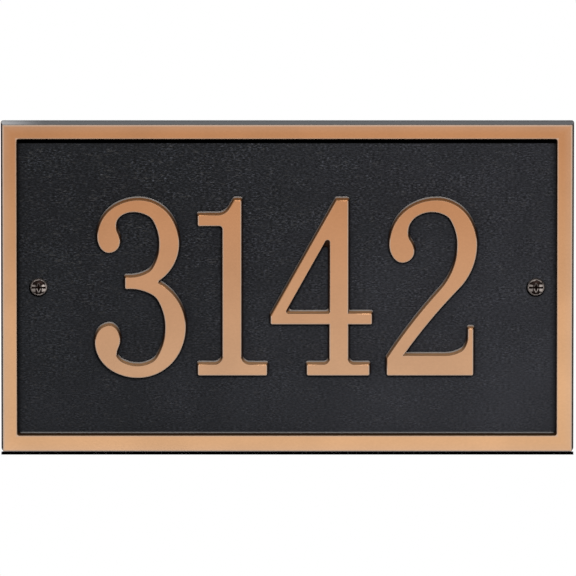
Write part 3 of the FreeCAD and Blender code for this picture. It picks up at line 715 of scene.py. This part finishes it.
class PLAQUE_OT_screws(bpy.types.Operator):
    """Turns a threaded screw with a slotted cross head and sets one at each end"""

    bl_idname = "plaque.screws"
    bl_label = "Screws"

    def execute(self, context):
        sizes = context.scene.plaque_sizes
        screw = self.turn_head(sizes)
        self.cut_recess(screw, sizes)
        combine(screw, self.turn_shank(sizes), "UNION")
        only(screw)
        bpy.ops.object.shade_smooth_by_angle(angle=math.radians(30))
        material = screw_finish(sizes)
        for side, name in ((-1, "left"), (1, "right")):
            piece = screw.copy()
            piece.data = screw.data.copy()
            piece.name = "detailed_screw_" + name
            context.scene.collection.objects.link(piece)
            piece.location.x = side * SCREW_OUT
            only(piece)
            bpy.ops.object.transform_apply(location=True, rotation=False, scale=False)
            dress(piece, material)
            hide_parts("screw_" + name)
            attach(piece, "root")
        mesh = screw.data
        bpy.data.objects.remove(screw)
        bpy.data.meshes.remove(mesh)
        return {"FINISHED"}

    def turn_head(self, sizes):
        """The pan head: a low rim whose front is inset and raised ring by ring."""
        head = rod("screw_head", sizes.head_radius, FIELD - 0.9 * MM, FIELD, 96)
        only(head)
        bpy.ops.object.mode_set(mode="EDIT")
        pick_faces(head, lambda middle, normal: normal.y < -0.9)
        for inset, rise in HEAD_RINGS:
            bpy.ops.mesh.inset(thickness=inset, depth=rise)
        bpy.ops.object.mode_set(mode="OBJECT")
        return head

    def cut_recess(self, head, sizes):
        """A slot across the head and a cross that narrows as it goes in."""
        front = FIELD - 3.2 * MM
        half, wide = sizes.slot_length / 2, sizes.slot_width / 2
        slot = block("slot_cutter", (-half, front, -wide), (half, FIELD - 1.5 * MM, wide))
        combine(head, slot, "DIFFERENCE")
        for half, wide in RECESS_WINGS:
            wing = block("wing_cutter", (-half, front, -wide), (half, FIELD - 1.0 * MM, wide))
            only(wing)
            bpy.ops.object.mode_set(mode="EDIT")
            if half == wide:
                bpy.ops.mesh.select_all(action="SELECT")
                bpy.ops.transform.rotate(value=math.pi / 4, orient_axis="Y", center_override=(0.0, 0.0, 0.0))
            pick_faces(wing, lambda middle, normal: normal.y > 0.9)
            bpy.ops.transform.resize(value=(0.6, 1.0, 0.6))
            bpy.ops.object.mode_set(mode="OBJECT")
            combine(head, wing, "DIFFERENCE")
        bevel = head.modifiers.new("Soft edges", "BEVEL")
        bevel.width = sizes.recess_edge
        bevel.segments = 2
        bevel.limit_method = "ANGLE"
        bevel.angle_limit = math.radians(35)
        apply_all(head)

    def turn_shank(self, sizes):
        """The neck, and a core whose thread runs out on the point."""
        tip = SCREW_HIGH[1]
        start, point = sizes.thread_start, sizes.point_length
        core = rod("shank", sizes.core_radius, FIELD - 0.4 * MM, tip - point, 48)
        only(core)
        bpy.ops.object.mode_set(mode="EDIT")
        pick_faces(core, lambda middle, normal: normal.y > 0.9)
        bpy.ops.mesh.extrude_region_move(TRANSFORM_OT_translate={"value": (0.0, point, 0.0)})
        bpy.ops.transform.resize(value=(0.03, 1.0, 0.03))
        bpy.ops.object.mode_set(mode="OBJECT")
        combine(core, rod("neck", sizes.neck_radius, FIELD - 0.5 * MM, start, 48), "UNION")
        thread = self.wind_thread(sizes, start, tip)
        envelope = rod("envelope", sizes.thread_radius, start - 0.2 * MM, tip - point, 48)
        only(envelope)
        bpy.ops.object.mode_set(mode="EDIT")
        pick_faces(envelope, lambda middle, normal: normal.y > 0.9)
        bpy.ops.mesh.extrude_region_move(TRANSFORM_OT_translate={"value": (0.0, point, 0.0)})
        bpy.ops.transform.resize(value=(0.02, 1.0, 0.02))
        bpy.ops.object.mode_set(mode="OBJECT")
        combine(thread, envelope, "INTERSECT")
        combine(core, thread, "UNION")
        return core

    def wind_thread(self, sizes, start, end):
        """A ridge wound round the core, from a triangle turned by a Screw modifier."""
        pitch = sizes.thread_pitch
        root, crest = sizes.core_radius - 0.25 * MM, sizes.thread_radius
        bpy.ops.object.select_all(action="DESELECT")
        bpy.ops.mesh.primitive_circle_add(vertices=3, radius=1.0, fill_type="NGON")
        ridge = bpy.context.object
        ridge.name = "thread"
        for vertex, place in zip(ridge.data.vertices, ((root, -0.42), (crest, 0.0), (root, 0.42))):
            vertex.co = (place[0], start + place[1] * pitch, 0.0)
        turns = math.ceil((end - start) / pitch)
        wind = ridge.modifiers.new("Wind", "SCREW")
        wind.axis = "Y"
        wind.angle = 2 * math.pi * turns
        wind.screw_offset = pitch * turns
        wind.steps = wind.render_steps = 32 * turns
        wind.use_merge_vertices = False
        apply_all(ridge)
        bpy.ops.object.mode_set(mode="EDIT")
        bpy.ops.mesh.select_all(action="SELECT")
        bpy.ops.mesh.normals_make_consistent(inside=False)
        bpy.ops.object.mode_set(mode="OBJECT")
        return ridge


class PLAQUE_OT_stage(bpy.types.Operator):
    """Sets up the floor, the backdrop, the lamps and the camera"""

    bl_idname = "plaque.stage"
    bl_label = "Stage"

    def execute(self, context):
        sizes = context.scene.plaque_stage
        self.lay_floor(sizes)
        self.light_world(context.scene, sizes)
        self.hang_lamps()
        self.place_camera(context.scene, sizes)
        context.scene.view_settings.view_transform = "Standard"
        return {"FINISHED"}

    def lay_floor(self, sizes):
        """A wide pale floor just under the plaque, white where it is seen and dark in the plaque's shade."""
        bpy.ops.object.select_all(action="DESELECT")
        bpy.ops.mesh.primitive_plane_add(size=6.0, location=(0.0, 0.0, PLATE_LOW[2] - sizes.floor_gap))
        floor = bpy.context.object
        floor.name = "floor"
        bpy.ops.object.transform_apply(location=True, rotation=False, scale=False)
        finish = Finish("floor_white")
        behind, beside = finish.size_of(finish.less(finish.out, FACE / 2)), finish.size_of(finish.across)
        half_depth, half_width = -FACE / 2, PLATE_HIGH[0]
        under = finish.product(
            finish.step(behind, half_depth - 0.2 * MM, half_depth + 0.2 * MM, 1.0, 0.0),
            finish.step(beside, half_width - 0.1 * MM, half_width + 0.1 * MM, 1.0, 0.0),
        )
        shade = finish.add("ShaderNodeAmbientOcclusion", {"samples": 16}, Distance=4.0 * MM)
        open_sky = finish.product(finish.step(shade.outputs["AO"], 0.15, 0.6), finish.less(1.0, under))
        white = finish.add("ShaderNodeEmission", Strength=open_sky)
        plain = finish.add("ShaderNodeBsdfDiffuse", Color=(0.8, 0.8, 0.8))
        path = finish.add("ShaderNodeLightPath")
        seen = finish.most(*(path.outputs[name] for name in SEEING_RAYS))
        mixed = finish.add("ShaderNodeMixShader", Fac=seen)
        finish.links.new(plain.outputs[0], mixed.inputs[1])
        finish.links.new(white.outputs[0], mixed.inputs[2])
        finish.add("ShaderNodeOutputMaterial", Surface=mixed.outputs[0])
        floor.data.materials.append(finish.material)

    def light_world(self, scene, sizes):
        """Even light from all round, white where it is seen."""
        world = bpy.data.worlds.new("studio")
        scene.world = world
        world.use_nodes = True
        nodes, links = world.node_tree.nodes, world.node_tree.links
        nodes.clear()
        path = nodes.new("ShaderNodeLightPath")
        seen = path.outputs[SEEING_RAYS[0]]
        for name in SEEING_RAYS[1:]:
            either = nodes.new("ShaderNodeMath")
            either.operation = "MAXIMUM"
            links.new(seen, either.inputs[0])
            links.new(path.outputs[name], either.inputs[1])
            seen = either.outputs[0]
        level = nodes.new("ShaderNodeMapRange")
        level.inputs["To Min"].default_value = sizes.sky
        level.inputs["To Max"].default_value = 1.0
        links.new(seen, level.inputs["Value"])
        sky = nodes.new("ShaderNodeBackground")
        links.new(level.outputs["Result"], sky.inputs["Strength"])
        end = nodes.new("ShaderNodeOutputWorld")
        links.new(sky.outputs[0], end.inputs["Surface"])

    def hang_lamps(self):
        """A soft key lamp in front and above, a weak fill from the left and one behind."""
        for name, place, size, power in LAMPS:
            lamp = bpy.data.lights.new(name, "AREA")
            lamp.shape = "DISK"
            lamp.size = size
            lamp.energy = power
            thing = bpy.data.objects.new(name, lamp)
            bpy.context.scene.collection.objects.link(thing)
            thing.location = place
            thing.visible_camera = False
            point_at(thing, (0.0, 0.0, 0.0))

    def place_camera(self, scene, sizes):
        """The photograph's camera, far off with a long lens and a little above the plaque."""
        data = bpy.data.cameras.new("camera")
        camera = bpy.data.objects.new("camera", data)
        scene.collection.objects.link(camera)
        data.sensor_width = 36.0
        data.lens = sizes.lens
        data.clip_start = 0.1
        data.clip_end = 40.0
        away = sizes.lens / data.sensor_width * sizes.view_width
        upwards = Vector((0.0, math.sin(sizes.elevation), math.cos(sizes.elevation)))
        backwards = Vector((0.0, -math.cos(sizes.elevation), math.sin(sizes.elevation)))
        aim = Vector((0.29 * MM, FACE, 0.0)) + upwards * 0.2 * MM
        camera.location = aim + backwards * away
        point_at(camera, aim)
        scene.camera = camera


class PLAQUE_PT_sidebar(bpy.types.Panel):
    """Lists the plaque's operators and sizes"""

    bl_idname = "PLAQUE_PT_sidebar"
    bl_label = "Plaque"
    bl_space_type = "VIEW_3D"
    bl_region_type = "UI"
    bl_category = "Plaque"

    def draw(self, context):
        for operator in OPERATORS:
            self.layout.operator(operator.bl_idname)
        for group in (context.scene.plaque_sizes, context.scene.plaque_stage):
            for name in group.__annotations__:
                self.layout.prop(group, name)


OPERATORS = (PLAQUE_OT_plate, PLAQUE_OT_numerals, PLAQUE_OT_pads, PLAQUE_OT_screws, PLAQUE_OT_stage)
CLASSES = (PlaqueSizes, StageSizes, *OPERATORS, PLAQUE_PT_sidebar)


def register():
    for each in CLASSES:
        bpy.utils.register_class(each)
    bpy.types.Scene.plaque_sizes = bpy.props.PointerProperty(type=PlaqueSizes)
    bpy.types.Scene.plaque_stage = bpy.props.PointerProperty(type=StageSizes)


def unregister():
    del bpy.types.Scene.plaque_stage
    del bpy.types.Scene.plaque_sizes
    for each in reversed(CLASSES):
        bpy.utils.unregister_class(each)


def main():
    register()
    bpy.ops.plaque.plate()
    bpy.ops.plaque.numerals()
    bpy.ops.plaque.pads()
    bpy.ops.plaque.screws()
    bpy.ops.plaque.stage()


if __name__ == "__main__":
    main()
